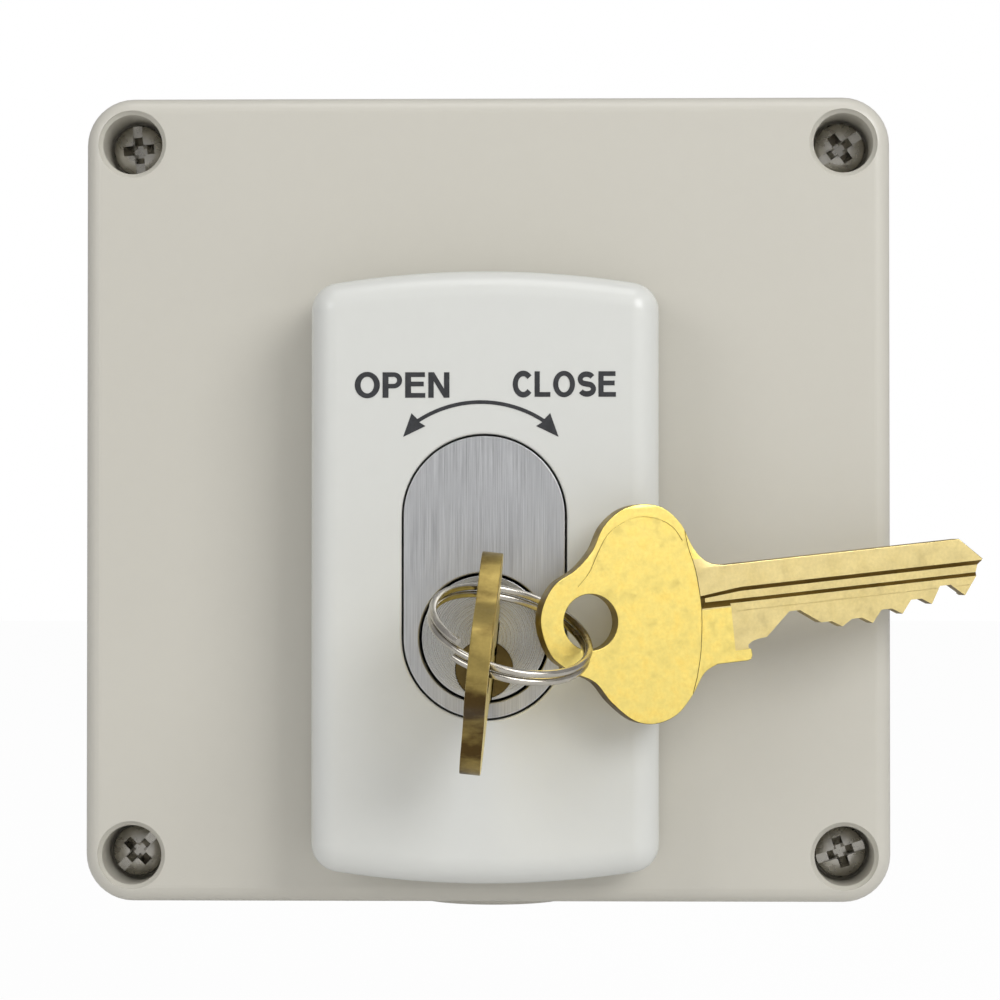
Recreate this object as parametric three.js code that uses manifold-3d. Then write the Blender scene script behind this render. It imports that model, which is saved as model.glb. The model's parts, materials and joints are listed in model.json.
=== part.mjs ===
// A key-operated OPEN / CLOSE switch in a wall box, with its lock, contact blocks, keys and key ring.
// Modelling frame, in millimetres: x to the right, y up, z out of the wall. The exported group turns
// it so that +Z is up and the front faces -Y, with the origin at the centre of the box's back face.
import * as THREE from "three";
import { mergeVertices } from "three/addons/utils/BufferGeometryUtils.js";
import Module from "manifold-3d";

const wasm = await Module();
wasm.setup();

// ---------------------------------------------------------------- driving dimensions
const BOX_SIDE = 102;
const BOX_CORNER = 6;
const BOX_WALL = 2.6;
const FLOOR = 3;
const BASE_TOP = 42;
const LID_BACK = 42.2;
const LID_FRONT = 56;
const LID_SKIN = 3;
const LID_FILLET = 2.2;
const GASKET_TOP = BASE_TOP + 1.4;

const SCREW_PLACE = 45.1; // lid screws, from the box's centre lines
const SCREW_SHANK = 1.75;
const SCREW_HEAD = 3.3;
const SCREW_SEAT = 46.6; // height of the face that the heads bear on
const RECESS = 3.75; // radius of the wells that the heads sit in
const RECESS_FLARE = 0.45; // how much wider a well is at its mouth
const PILLAR = 7.2;

const CONDUIT_Z = 21; // centre of the cable entry in the bottom wall
const CONDUIT_HOLE = 12.6;
const WALL_HOLE = { x: 30, y: 39, radius: 2.3 };

const COVER_WIDTH = 43;
const COVER_HEIGHT = 75.7;
const COVER_CROWN = 1.4; // how far the curved top and bottom edges bulge
const COVER_CORNER = 4.4;
const COVER_FILLET = 3.4;
const COVER_WALL = 2.2;
const COVER_BACK = 56.8;
const COVER_FRONT = 69;
const COVER_Y = -9.8;
const COVER_SCREW_Y = [20.5, -40.5];

const PLATE_WIDTH = 19.8;
const PLATE_HEIGHT = 34.7;
const PLATE_THICK = 2;
const OPENING_GAP = 0.25;
const LOCK_Y = COVER_Y - (PLATE_HEIGHT - PLATE_WIDTH) / 2; // the plug turns about this line
const LOCK_WIDTH = 19;
const LOCK_HEIGHT = 33.9;
const BORE = 8.03;
const PLUG = 7.7;
const PLUG_TURN = THREE.MathUtils.degToRad(-6); // the plug stands slightly clockwise of its centre
const NOSE = { x: 0.4, y: -3.84, radius: 3.6 }; // round brass nose that shows in the plug's steel face

const BRACKET_BACK = 36.5;
const BRACKET_FRONT = 38;
const BRACKET_SCREW_Y = [12.2, -32.4];
const PLUG_BACK = 36.2;
const TAIL_BACK = 28;

const KEY_THICK = 2.5;
const KEY_X = 0.3; // the keyway is slightly off the plug's centre
const KEY_AXIS_Y = -2.5; // the key's centre line, from the plug's axis
const KEY_SHOULDER_Z = 71.1;
const KEY_HOLE = { u: -18.1, radius: 3.4 };
const KEY_SPINE = 5.15;
const CUT_START = 8;
const CUT_PITCH = 4;
const CUT_DEPTHS = [-1.4, -3.2, -3.2, -2.5, -1.7, -0.4];
const KEYWAY_HALF = 1.4;

const PIN = 1.4;
const CHAMBER = 1.65;
const CHAMBER_TOP = 5.6;

const CAM_RADIUS = 6.2;
const CAM_RISE = 1.27; // growth of the cam's radius per radian
const CAM_BACK = 31.8;
const CAM_FRONT = 34.8;
const SWITCH = { inner: 9.5, outer: 19.5, half: 10, back: 30.1 };
const PLUNGER_Z = 33.3;
const TAB_Y = [-7, 7]; // the two tabs of a microswitch, from its middle
const BLOCK = { y0: 24, y1: 38, top: 16, pitch: 11, half: 17 }; // terminal block

const RING_RADIUS = 9.65;
const RING_WIRE = 0.46;
const RING_PITCH = 1.05;
const RING_PLACE = new THREE.Vector3(3.39, -16.33, 81.9);
const RING_NORMAL = new THREE.Vector3(0.258, 0.865, 0.432).normalize();
const RING_START = THREE.MathUtils.degToRad(-124);

const SPARE_HOLE = new THREE.Vector3(12.7, -15.17, 75.9); // centre of the spare key's hole
const SPARE_LEAN = THREE.MathUtils.degToRad(16.5); // tip away from the viewer
const SPARE_CLIMB = THREE.MathUtils.degToRad(5.9); // tip above the bow

// ---------------------------------------------------------------- materials
function material(color, roughness, metalness = 0) {
  return new THREE.MeshStandardMaterial({ color, roughness, metalness });
}
const greyPlastic = material(0xcac5bc, 0.45);
const whitePlastic = material(0xf2f2f0, 0.3);
const blackPlastic = material(0x26262a, 0.5);
const sealRubber = material(0x2c2c2c, 0.9);
const stainless = material(0xb4b3b0, 0.35, 1);
const brushedSteel = material(0xa9abad, 0.4, 1);
const castZinc = material(0x9a9b9c, 0.5, 1);
const keyBrass = material(0xd2b04f, 0.35, 1);
const plugBrass = material(0x8a744a, 0.45, 1);
const springSteel = material(0x8f9296, 0.35, 1);
const ringNickel = material(0xd4cfc6, 0.2, 1);
const blockWhite = material(0xe6e3da, 0.4);

// ---------------------------------------------------------------- solid helpers
function toSolid(geometry) {
  const bare = geometry.clone();
  bare.deleteAttribute("normal");
  bare.deleteAttribute("uv");
  const merged = mergeVertices(bare, 1e-4);
  return new wasm.Manifold(
    new wasm.Mesh({
      numProp: 3,
      vertProperties: new Float32Array(merged.attributes.position.array),
      triVerts: new Uint32Array(merged.index.array),
    }),
  );
}

function toGeometry(solid) {
  const mesh = solid.getMesh();
  const geometry = new THREE.BufferGeometry();
  geometry.setAttribute("position", new THREE.BufferAttribute(mesh.vertProperties, mesh.numProp));
  geometry.setIndex(new THREE.BufferAttribute(mesh.triVerts, 1));
  return geometry;
}

function join(...pieces) {
  return toGeometry(pieces.map(toSolid).reduce((whole, piece) => whole.add(piece)));
}

function cut(body, ...tools) {
  return toGeometry(tools.map(toSolid).reduce((rest, tool) => rest.subtract(tool), toSolid(body)));
}

// ---------------------------------------------------------------- shapes and primitives
function roundedRect(width, height, radius) {
  const x = width / 2 - radius;
  const y = height / 2 - radius;
  const shape = new THREE.Shape();
  shape.absarc(x, y, radius, 0, Math.PI / 2);
  shape.absarc(-x, y, radius, Math.PI / 2, Math.PI);
  shape.absarc(-x, -y, radius, Math.PI, 1.5 * Math.PI);
  shape.absarc(x, -y, radius, 1.5 * Math.PI, 2 * Math.PI);
  return shape;
}

function pill(width, height) {
  const r = width / 2;
  const y = height / 2 - r;
  const shape = new THREE.Shape();
  shape.absarc(0, y, r, 0, Math.PI);
  shape.absarc(0, -y, r, Math.PI, 2 * Math.PI);
  return shape;
}

// Straight sides, with a top and a bottom edge that bulge outwards by "crown".
function barrel(width, height, crown, radius) {
  const cornerX = width / 2 - radius;
  const reach = (cornerX * cornerX + crown * crown) / (2 * crown);
  const sweep = Math.asin(cornerX / reach);
  const rise = reach + radius;
  const centreY = height / 2 - rise;
  const cornerY = centreY + reach * Math.cos(sweep);
  const shape = new THREE.Shape();
  shape.absarc(cornerX, cornerY, radius, 0, Math.PI / 2 - sweep);
  shape.absarc(0, centreY, rise, Math.PI / 2 - sweep, Math.PI / 2 + sweep);
  shape.absarc(-cornerX, cornerY, radius, Math.PI / 2 + sweep, Math.PI);
  shape.absarc(-cornerX, -cornerY, radius, Math.PI, 1.5 * Math.PI - sweep);
  shape.absarc(0, -centreY, rise, 1.5 * Math.PI - sweep, 1.5 * Math.PI + sweep);
  shape.absarc(cornerX, -cornerY, radius, 1.5 * Math.PI + sweep, 2 * Math.PI);
  return shape;
}

// "pieces" is the number of straight pieces in each arc of the outline, always even.
function slab(shape, z0, z1, y = 0, pieces = 8) {
  const options = { depth: z1 - z0, bevelEnabled: false, curveSegments: pieces / 2 };
  return new THREE.ExtrudeGeometry(shape, options).translate(0, y, z0);
}

// A slab whose front edge is rounded. The rounded back edge that the bevel also makes is cut off.
function filletedSlab(shape, z0, z1, y, fillet, pieces) {
  const options = {
    depth: z1 - z0,
    bevelEnabled: true,
    bevelThickness: fillet,
    bevelSize: fillet,
    bevelOffset: -fillet,
    bevelSegments: 3,
    curveSegments: pieces / 2,
  };
  const both = new THREE.ExtrudeGeometry(shape, options).translate(0, y, z0 - fillet);
  return cut(both, block(-BOX_SIDE, BOX_SIDE, -BOX_SIDE, BOX_SIDE, z0 - 3 * fillet, z0));
}

function block(x0, x1, y0, y1, z0, z1) {
  const box = new THREE.BoxGeometry(x1 - x0, y1 - y0, z1 - z0);
  return box.translate((x0 + x1) / 2, (y0 + y1) / 2, (z0 + z1) / 2);
}

function rodZ(x, y, radius, z0, z1, segments = 24) {
  const rod = new THREE.CylinderGeometry(radius, radius, z1 - z0, segments).rotateX(Math.PI / 2);
  return rod.translate(x, y, (z0 + z1) / 2);
}

function rodY(x, z, radius, y0, y1, segments = 12) {
  const rod = new THREE.CylinderGeometry(radius, radius, y1 - y0, segments);
  return rod.translate(x, (y0 + y1) / 2, z);
}

function rodX(y, z, radius, x0, x1, segments = 12) {
  const rod = new THREE.CylinderGeometry(radius, radius, x1 - x0, segments).rotateZ(-Math.PI / 2);
  return rod.translate((x0 + x1) / 2, y, z);
}

// Turned about z: a profile of [radius, z] pairs, from the lowest point on the axis to the highest.
function turned(profile, segments) {
  const points = profile.map(([r, z]) => new THREE.Vector2(r, z));
  return new THREE.LatheGeometry(points, segments).rotateX(Math.PI / 2);
}

function wire(path, radius, steps, sides) {
  const corners = Array.from({ length: sides }, (_, k) => {
    const angle = (2 * Math.PI * k) / sides;
    return new THREE.Vector2(radius * Math.cos(angle), radius * Math.sin(angle));
  });
  const options = { steps, bevelEnabled: false, extrudePath: path };
  return new THREE.ExtrudeGeometry(new THREE.Shape(corners), options);
}

function fourCorners(make) {
  const signs = [[-1, 1], [1, 1], [-1, -1], [1, -1]];
  return signs.map(([sx, sy]) => make(sx, sy));
}

// ---------------------------------------------------------------- the assembly
const model = new THREE.Group();

function add(parent, name, geometry, look) {
  const mesh = new THREE.Mesh(geometry, look);
  mesh.name = name;
  parent.add(mesh);
  return mesh;
}

// The inside of the box, which runs round the four screw pillars. "grow" moves its edge outwards.
function boxInside(z0, z1, grow) {
  const side = BOX_SIDE - 2 * BOX_WALL + 2 * grow;
  const inside = slab(roundedRect(side, side, 3), z0, z1, 0, 4);
  const pillars = fourCorners((sx, sy) =>
    rodZ(sx * SCREW_PLACE, sy * SCREW_PLACE, PILLAR - grow, z0 - 1, z1 + 1, 24),
  );
  const corners = fourCorners((sx, sy) => cornerBlock(sx, sy, PILLAR - grow, z0 - 1, z1 + 1));
  return cut(inside, ...pillars, ...corners.flat());
}

// Two blocks that clear the corner beyond a screw pillar, so nothing is left there on its own.
function cornerBlock(sx, sy, reach, z0, z1) {
  const near = SCREW_PLACE - reach;
  const far = BOX_SIDE;
  const span = (s, a, b) => (s > 0 ? [a, b] : [-b, -a]);
  return [
    block(...span(sx, near, far), ...span(sy, SCREW_PLACE, far), z0, z1),
    block(...span(sx, SCREW_PLACE, far), ...span(sy, near, far), z0, z1),
  ];
}

function enclosureBase() {
  const shell = slab(roundedRect(BOX_SIDE, BOX_SIDE, BOX_CORNER), 0, BASE_TOP, 0, 6);
  const hollow = cut(shell, boxInside(FLOOR, BASE_TOP + 1, 0));
  const entryBoss = rodY(0, CONDUIT_Z, CONDUIT_HOLE + 2.4, -BOX_SIDE / 2 + 1, -43.5, 24);
  const entryHole = rodY(0, CONDUIT_Z, CONDUIT_HOLE, -BOX_SIDE, -40, 24);
  const screwHoles = fourCorners((sx, sy) =>
    rodZ(sx * SCREW_PLACE, sy * SCREW_PLACE, SCREW_SHANK + 0.3, 24, BASE_TOP + 1, 10),
  );
  const wallHoles = fourCorners((sx, sy) =>
    rodZ(sx * WALL_HOLE.x, sy * WALL_HOLE.y, WALL_HOLE.radius, -1, FLOOR + 1, 12),
  );
  return cut(join(hollow, entryBoss), entryHole, ...screwHoles, ...wallHoles);
}

function enclosureLid() {
  const outline = roundedRect(BOX_SIDE, BOX_SIDE, BOX_CORNER);
  const shell = filletedSlab(outline, LID_BACK, LID_FRONT, 0, LID_FILLET, 6);
  const hollow = cut(shell, boxInside(LID_BACK - 1, LID_FRONT - LID_SKIN, 0));
  const posts = bracketPosts();
  const rebate = gasketRing(LID_BACK - 1, GASKET_TOP, 0.3, 2.4);
  const tools = fourCorners((sx, sy) => screwRecess(sx * SCREW_PLACE, sy * SCREW_PLACE)).flat();
  const lockHole = slab(pill(PLATE_WIDTH, PLATE_HEIGHT), LID_BACK, LID_FRONT + 1, COVER_Y, 20);
  const coverHoles = COVER_SCREW_Y.map((y) => rodZ(0, y, 1.8, LID_BACK, LID_FRONT + 1, 10));
  const postHoles = BRACKET_SCREW_Y.map((y) => rodZ(0, y, 1.55, BRACKET_FRONT - 1, 48, 10));
  return cut(join(hollow, ...posts), rebate, lockHole, ...tools, ...coverHoles, ...postHoles);
}

function screwRecess(x, y) {
  const rim = new THREE.CylinderGeometry(RECESS + RECESS_FLARE, RECESS, 0.8, 24).rotateX(Math.PI / 2);
  return [
    rodZ(x, y, RECESS, SCREW_SEAT, LID_FRONT + 1, 24),
    rim.translate(x, y, LID_FRONT - 0.35),
    rodZ(x, y, SCREW_SHANK + 0.35, LID_BACK - 1, SCREW_SEAT + 1, 10),
  ];
}

function bracketPosts() {
  return BRACKET_SCREW_Y.map((y) => rodZ(0, y, 3.6, BRACKET_FRONT, LID_FRONT - 1, 16));
}

// The band that seals the box: it follows the wall and passes inside the screw pillars.
// "slack" widens it on its outer side and "inward" opens it towards the box's inside.
function gasketRing(z0, z1, slack, inward) {
  const outer = boxInside(z0, z1, 2 + slack);
  return cut(outer, boxInside(z0 - 1, z1 + 1, 0.4 - inward));
}

// Recessed-head screw: a low dome with a cross and a slot, on a plain shank.
function lidScrew(x, y) {
  const head = 2.4;
  const profile = [
    [0, SCREW_SEAT - 18],
    [SCREW_SHANK - 0.6, SCREW_SEAT - 18],
    [SCREW_SHANK, SCREW_SEAT - 17],
    [SCREW_SHANK, SCREW_SEAT],
    [SCREW_HEAD, SCREW_SEAT],
    [SCREW_HEAD, SCREW_SEAT + head - 0.8],
    [SCREW_HEAD - 0.5, SCREW_SEAT + head - 0.25],
    [SCREW_HEAD - 1.5, SCREW_SEAT + head],
    [0, SCREW_SEAT + head],
  ];
  const top = SCREW_SEAT + head;
  const arm = 1.5;
  const slot = block(-SCREW_HEAD - 1, SCREW_HEAD + 1, -0.4, 0.4, top - 0.8, top + 1);
  const crossA = block(-arm, arm, -0.5, 0.5, top - 1.3, top + 1);
  const crossB = block(-0.5, 0.5, -arm, arm, top - 1.3, top + 1);
  const quarter = THREE.MathUtils.degToRad(x * y > 0 ? 30 : -20);
  return cut(turned(profile, 18), slot, crossA, crossB).rotateZ(quarter).translate(x, y, 0);
}

function plainScrew(x, y, shank, headRadius, seat, headHeight, length) {
  // The head is behind the seat and the shank runs forwards into its hole.
  const profile = [
    [0, seat - headHeight],
    [headRadius - 0.5, seat - headHeight],
    [headRadius, seat - headHeight + 0.5],
    [headRadius, seat],
    [shank, seat],
    [shank, seat + length],
    [0, seat + length],
  ];
  const slot = block(-headRadius - 1, headRadius + 1, -0.35, 0.35, seat - headHeight - 1, seat - 0.9);
  return cut(turned(profile, 12), slot).translate(x, y, 0);
}

function conduitPlug() {
  const profile = [
    [0, -2.8],
    [9.3, -2.8],
    [10.3, -2.5],
    [10.8, -1.9],
    [14.2, -1.6],
    [15, -1],
    [15, 0],
    [12.3, 0],
    [12.3, 8],
    [9.8, 8],
    [9.8, 0],
    [0, 0],
  ];
  const points = profile.map(([r, y]) => new THREE.Vector2(r, y));
  return new THREE.LatheGeometry(points, 24).translate(0, -BOX_SIDE / 2, CONDUIT_Z);
}

function enclosure() {
  add(model, "enclosure_base", enclosureBase(), greyPlastic);
  add(model, "enclosure_lid", enclosureLid(), greyPlastic);
  add(model, "lid_gasket", gasketRing(BASE_TOP, GASKET_TOP, 0, 0), sealRubber);
  for (const [sy, row] of [[1, "top"], [-1, "bottom"]]) {
    for (const [sx, column] of [[-1, "left"], [1, "right"]]) {
      const screw = lidScrew(sx * SCREW_PLACE, sy * SCREW_PLACE);
      add(model, `lid_screw_${row}_${column}`, screw, stainless);
    }
  }
  add(model, "conduit_plug", conduitPlug(), greyPlastic);
}

// ---------------------------------------------------------------- white cover and face plate
function coverShape(inset) {
  return barrel(
    COVER_WIDTH - 2 * inset,
    COVER_HEIGHT - 2 * inset,
    COVER_CROWN,
    COVER_CORNER - Math.min(inset, 2.4),
  );
}

function switchCover() {
  const shell = filletedSlab(coverShape(0), COVER_BACK, COVER_FRONT, COVER_Y, COVER_FILLET, 6);
  const inside = slab(coverShape(COVER_WALL), COVER_BACK - 1, COVER_FRONT - COVER_WALL, COVER_Y, 4);
  const opening = pill(PLATE_WIDTH + 2 * OPENING_GAP, PLATE_HEIGHT + 2 * OPENING_GAP);
  const window = slab(opening, COVER_BACK, COVER_FRONT + 1, COVER_Y, 20);
  const bosses = COVER_SCREW_Y.map((y) => rodZ(0, y, 3.2, COVER_BACK, COVER_FRONT - 1, 12));
  const pilots = COVER_SCREW_Y.map((y) => rodZ(0, y, 1.6, COVER_BACK - 1, 65.5, 10));
  return cut(join(cut(shell, inside), ...bosses), window, ...pilots);
}

function coverGasket() {
  const outer = slab(coverShape(0.4), LID_FRONT, COVER_BACK, COVER_Y, 4);
  return cut(outer, slab(coverShape(2.8), LID_FRONT - 1, COVER_BACK + 1, COVER_Y, 4));
}

function facePlate() {
  const plate = slab(pill(PLATE_WIDTH, PLATE_HEIGHT), COVER_FRONT - PLATE_THICK, COVER_FRONT, COVER_Y, 20);
  return cut(plate, rodZ(0, LOCK_Y, BORE, 60, 72, 36));
}

function cover() {
  add(model, "switch_cover", switchCover(), whitePlastic);
  add(model, "cover_gasket", coverGasket(), sealRubber);
  add(model, "face_plate", facePlate(), brushedSteel);
  COVER_SCREW_Y.forEach((y, i) => {
    const screw = plainScrew(0, y, 1.3, 2.8, LID_FRONT - LID_SKIN, 2, 11);
    add(model, `cover_screw_${i ? "lower" : "upper"}`, screw, stainless);
  });
}

// ---------------------------------------------------------------- lock
const pinPlaces = CUT_DEPTHS.map((_, i) => KEY_SHOULDER_Z - CUT_START - CUT_PITCH * i);

function lockBody() {
  const front = COVER_FRONT - PLATE_THICK;
  const barrelPart = slab(pill(LOCK_WIDTH, LOCK_HEIGHT), BRACKET_FRONT, front, COVER_Y, 12);
  const neck = rodZ(0, LOCK_Y, 9.2, BRACKET_BACK, BRACKET_FRONT + 1, 24);
  const bore = rodZ(0, LOCK_Y, BORE, 30, 72, 36);
  const chambers = pinPlaces.map((z) => rodY(0, z, CHAMBER, LOCK_Y + 6, CHAMBER_TOP + 3));
  const groove = block(-2, 2, CHAMBER_TOP, 12, 40.6, 65.6);
  return cut(join(barrelPart, neck), bore, groove, ...chambers);
}

function keywaySlot(z0, z1) {
  return block(KEY_X - KEYWAY_HALF, KEY_X + KEYWAY_HALF, -12, 2.1, z0, z1);
}

// Drawn about its own axis: a brass barrel with a round nose, a keyway, six chambers and a square tail.
function lockPlug() {
  const back = COVER_FRONT - PLATE_THICK + 0.2;
  const barrelPart = rodZ(0, 0, PLUG, PLUG_BACK, back, 36);
  const nose = rodZ(NOSE.x, NOSE.y, NOSE.radius - 0.05, back - 1, COVER_FRONT - 0.35, 24);
  const tail = block(-2.5, 2.5, -2.5, 2.5, TAIL_BACK, PLUG_BACK + 1);
  const chambers = pinPlaces.map((z) => rodY(0, z, CHAMBER, -2.2, 9));
  const screwHole = rodZ(0, 0, 1.5, TAIL_BACK - 1, 34.5, 12);
  return cut(join(barrelPart, nose, tail), keywaySlot(37.4, 72), screwHole, ...chambers);
}

function plugFace() {
  const disc = rodZ(0, 0, PLUG, COVER_FRONT - PLATE_THICK + 0.25, COVER_FRONT - 0.2, 36);
  return cut(disc, rodZ(NOSE.x, NOSE.y, NOSE.radius, 60, 72, 24), keywaySlot(60, 72));
}

function keyPin(depth) {
  const tip = KEY_AXIS_Y - depth + 0.15;
  const points = [[0, tip], [0.45, tip], [PIN, tip + 0.95], [PIN, 7.45], [0, 7.45]];
  return new THREE.LatheGeometry(points.map(([r, y]) => new THREE.Vector2(r, y)), 12);
}

function pinSpring(length) {
  const turns = 5;
  class Coil extends THREE.Curve {
    getPoint(t, target = new THREE.Vector3()) {
      const angle = 2 * Math.PI * turns * t;
      return target.set(1.05 * Math.cos(angle), 0.25 + (length - 0.5) * t, 1.05 * Math.sin(angle));
    }
  }
  return wire(new Coil(), 0.18, turns * 7, 3);
}

function lock(plugGroup) {
  add(model, "lock_body", lockBody(), castZinc);
  add(model, "chamber_strip", block(-1.7, 1.7, CHAMBER_TOP, CHAMBER_TOP + 1.1, 40.9, 65.3), plugBrass);
  add(plugGroup, "lock_plug", lockPlug(), plugBrass);
  add(plugGroup, "plug_face", plugFace(), brushedSteel);
  const driverFoot = LOCK_Y + 8.15;
  const driverTop = driverFoot + 4.4;
  pinPlaces.forEach((z, i) => {
    add(plugGroup, `key_pin_${i + 1}`, keyPin(CUT_DEPTHS[i]), plugBrass).position.z = z;
    add(model, `driver_pin_${i + 1}`, rodY(0, z, PIN, driverFoot, driverTop), plugBrass);
    const spring = pinSpring(CHAMBER_TOP - driverTop - 0.1);
    add(model, `pin_spring_${i + 1}`, spring, springSteel).position.set(0, driverTop + 0.05, z);
  });
}

// ---------------------------------------------------------------- cam, return spring and contact blocks
// The radius grows evenly with the angle on the right and falls evenly on the left, so each plunger
// moves in step with the key: one goes in as the other comes out.
function camShape() {
  const flank = Math.PI / 3;
  const step = Math.PI / 24;
  const shape = new THREE.Shape();
  for (let i = 0; i < 48; i++) {
    const angle = i * step - Math.PI / 2;
    const climb = angle <= Math.PI / 2 ? angle : Math.PI - angle;
    const radius = CAM_RADIUS + CAM_RISE * THREE.MathUtils.clamp(climb, -flank, flank);
    const x = radius * Math.cos(angle);
    const y = radius * Math.sin(angle);
    if (i) shape.lineTo(x, y);
    else shape.moveTo(x, y);
  }
  return shape;
}

function driveCam() {
  const disc = slab(camShape(), CAM_BACK, CAM_FRONT);
  const collar = rodZ(0, 0, 4.6, CAM_FRONT - 1, PLUG_BACK - 0.2);
  const hub = rodZ(0, 0, 4.6, TAIL_BACK + 0.1, CAM_BACK + 1);
  const finger = block(-0.8, 0.8, 6.6, 9, TAIL_BACK + 0.3, CAM_FRONT);
  const square = block(-2.8, 2.8, -2.8, 2.8, 20, 40).rotateZ(PLUG_TURN);
  return cut(join(disc, collar, hub, finger), square).translate(0, LOCK_Y, 0);
}

// Centring spring: a coil round the hub whose two legs stand on either side of the finger and the post.
function returnSpring() {
  const coil = 5.35;
  const turns = 3;
  const [low, high] = [28.8, 31.2];
  const gap = THREE.MathUtils.degToRad(25);
  const points = [new THREE.Vector3(-1.6, 12.6, low), new THREE.Vector3(-1.6, 9, low)];
  points.push(new THREE.Vector3(-1.75, 6.6, low));
  const sweep = 2 * Math.PI * turns - 2 * gap;
  const count = turns * 12;
  for (let i = 0; i <= count; i++) {
    const angle = Math.PI / 2 + gap + (sweep * i) / count;
    const z = low + ((high - low) * i) / count;
    points.push(new THREE.Vector3(coil * Math.cos(angle), coil * Math.sin(angle), z));
  }
  points.push(new THREE.Vector3(1.75, 6.6, high), new THREE.Vector3(1.6, 9, high));
  points.push(new THREE.Vector3(1.6, 12.6, high));
  const path = new THREE.CatmullRomCurve3(points, false, "centripetal");
  return wire(path, 0.32, 60, 4).translate(0, LOCK_Y, 0);
}

function switchBracket() {
  const plate = slab(roundedRect(42, 52.4, 3), BRACKET_BACK, BRACKET_FRONT, -10.1, 2);
  const post = rodZ(0, LOCK_Y + 10.9, 1, TAIL_BACK, BRACKET_BACK + 0.5, 12);
  const neckHole = rodZ(0, LOCK_Y, 9.5, 30, 40, 24);
  const screwHoles = BRACKET_SCREW_Y.map((y) => rodZ(0, y, 1.6, 30, 40, 16));
  return join(cut(plate, neckHole, ...screwHoles), post);
}

function microswitch(side) {
  const body = block(SWITCH.inner, SWITCH.outer, -SWITCH.half, SWITCH.half, SWITCH.back, BRACKET_BACK);
  const socket = rodX(0, PLUNGER_Z, 1.5, SWITCH.inner - 1, 14, 16);
  const slots = TAB_Y.map((y) => block(17, 20, y - 1.8, y + 1.8, PLUNGER_Z - 0.6, PLUNGER_Z + 0.6));
  const mould = [-4.75, 4.75].map((y) => rodZ(16, y, 1.1, 20, 40, 12));
  return placeSide(cut(body, socket, ...slots, ...mould), side);
}

function plunger(side) {
  const button = join(rodX(0, PLUNGER_Z, 1.2, 6.8, 11.5, 16), rodX(0, PLUNGER_Z, 0.9, 6.5, 7, 16));
  return placeSide(button, side);
}

function spade(side, y) {
  const blade = block(17.3, 25, y - 1.5, y + 1.5, PLUNGER_Z - 0.3, PLUNGER_Z + 0.3);
  return placeSide(cut(blade, rodZ(23.4, y, 0.7, 30, 40, 12)), side);
}

// Drawn for the right-hand side; the left-hand one is the same piece turned half round about z.
function placeSide(geometry, side) {
  return (side < 0 ? geometry.rotateZ(Math.PI) : geometry).translate(0, LOCK_Y, 0);
}

function camScrew() {
  const screw = plainScrew(0, 0, 1.2, 3.4, TAIL_BACK - 0.1, 1.8, 5.5);
  return screw.translate(0, LOCK_Y, 0);
}

function contacts(plugGroup) {
  add(model, "switch_bracket", switchBracket(), stainless);
  BRACKET_SCREW_Y.forEach((y, i) => {
    const screw = plainScrew(0, y, 1.25, 2.8, BRACKET_BACK, 2, 10);
    add(model, `bracket_screw_${i ? "lower" : "upper"}`, screw, stainless);
  });
  add(model, "drive_cam", driveCam(), castZinc);
  add(model, "cam_screw", camScrew(), stainless);
  add(model, "return_spring", returnSpring(), springSteel);
  for (const [name, side] of [["open", -1], ["close", 1]]) {
    add(model, `microswitch_${name}`, microswitch(side), blackPlastic);
    add(model, `plunger_${name}`, plunger(side), blockWhite);
    add(model, `common_tab_${name}`, spade(side, -7), plugBrass);
    add(model, `contact_tab_${name}`, spade(side, 7), plugBrass);
  }
}

// ---------------------------------------------------------------- terminal block and wires
function terminalBlock() {
  const body = block(-BLOCK.half, BLOCK.half, BLOCK.y0, BLOCK.y1, FLOOR, BLOCK.top);
  const ways = [-1, 0, 1].map((way) => way * BLOCK.pitch);
  const wireHoles = ways.map((x) => rodY(x, 9, 1.9, BLOCK.y0 - 1, BLOCK.y1 - 3, 16));
  const screwHoles = ways.map((x) => rodZ(x, 30, 2.4, 10, BLOCK.top + 1, 16));
  const grooves = [-0.5, 0.5].map((way) =>
    block(way * BLOCK.pitch - 0.6, way * BLOCK.pitch + 0.6, BLOCK.y0 - 1, BLOCK.y1 + 1, 13, 17),
  );
  return cut(body, ...wireHoles, ...screwHoles, ...grooves);
}

function terminalScrew(x) {
  const screw = rodZ(x, 30, 2.1, 11.2, BLOCK.top - 1, 16);
  return cut(screw, block(x - 3, x + 3, 29.6, 30.4, BLOCK.top - 2, BLOCK.top));
}

function lead(points, steps) {
  const path = new THREE.CatmullRomCurve3(points.map((p) => new THREE.Vector3(...p)));
  return wire(path, 0.9, steps, 5);
}

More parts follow.
